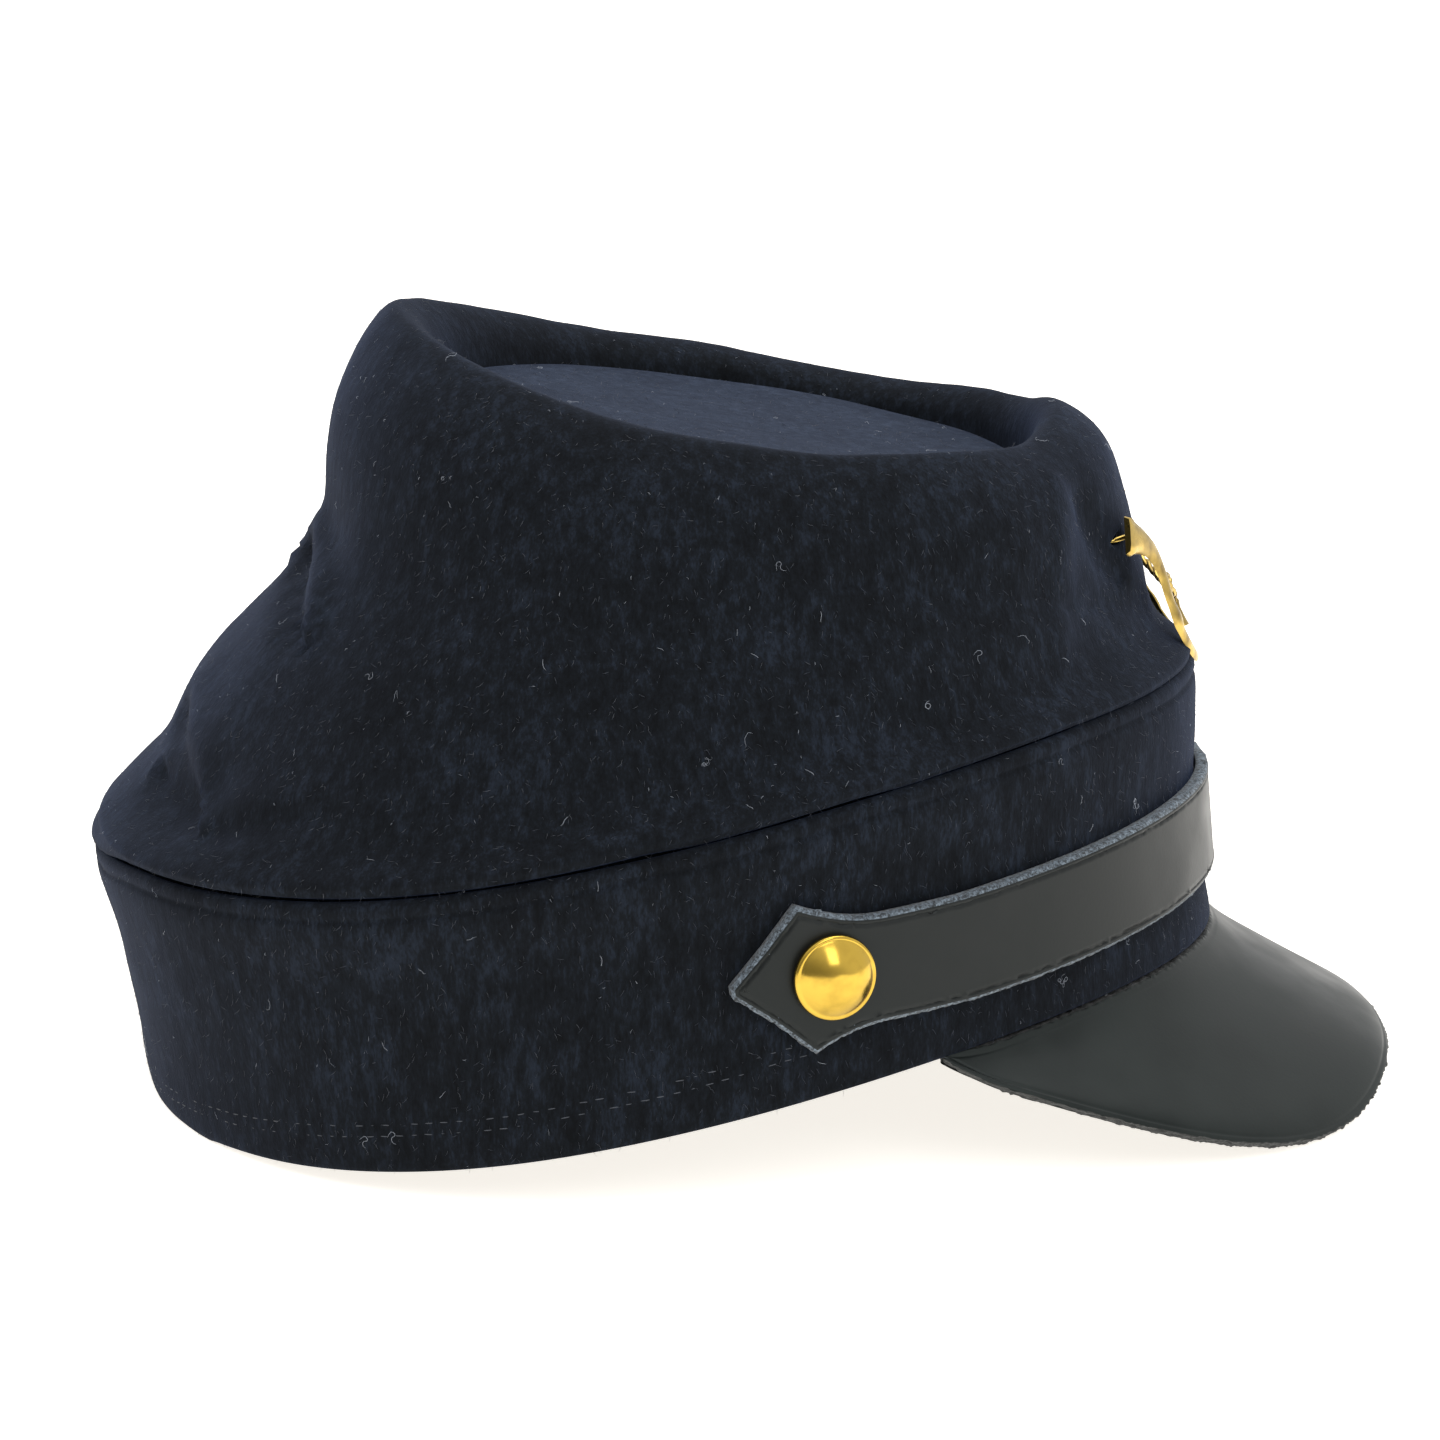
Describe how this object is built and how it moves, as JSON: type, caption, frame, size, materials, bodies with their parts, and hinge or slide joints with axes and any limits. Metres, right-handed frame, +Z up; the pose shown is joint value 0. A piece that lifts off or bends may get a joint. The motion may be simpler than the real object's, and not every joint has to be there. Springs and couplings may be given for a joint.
{
  "type": "kepi cap",
  "caption": "Wool kepi cap with a sunken flat top, slumped crown, leather peak and chin strap, brass side buttons and a brass horn badge.",
  "frame": {"origin": "centre of the bounding box's bottom face, on the surface that the cap rests on", "axes": "+X the way the peak points, +Y to the wearer's left, +Z up, with the cap at rest on its band's back edge and its peak"},
  "size_m": [0.2448, 0.1918, 0.1449],
  "materials": {
    "wool": "napped navy wool felt",
    "peak_leather": "satin black leather with a raw cut edge",
    "strap_leather": "satin black leather with a raw cut edge",
    "brass": "polished, slightly tarnished"
  },
  "bodies": {
    "root": {"band": "wool", "crown": "wool", "crown_top": "wool", "peak": "peak_leather", "chin_strap": "strap_leather", "button_right": "brass", "button_left": "brass", "badge": "brass"}
  },
  "joints": []
}
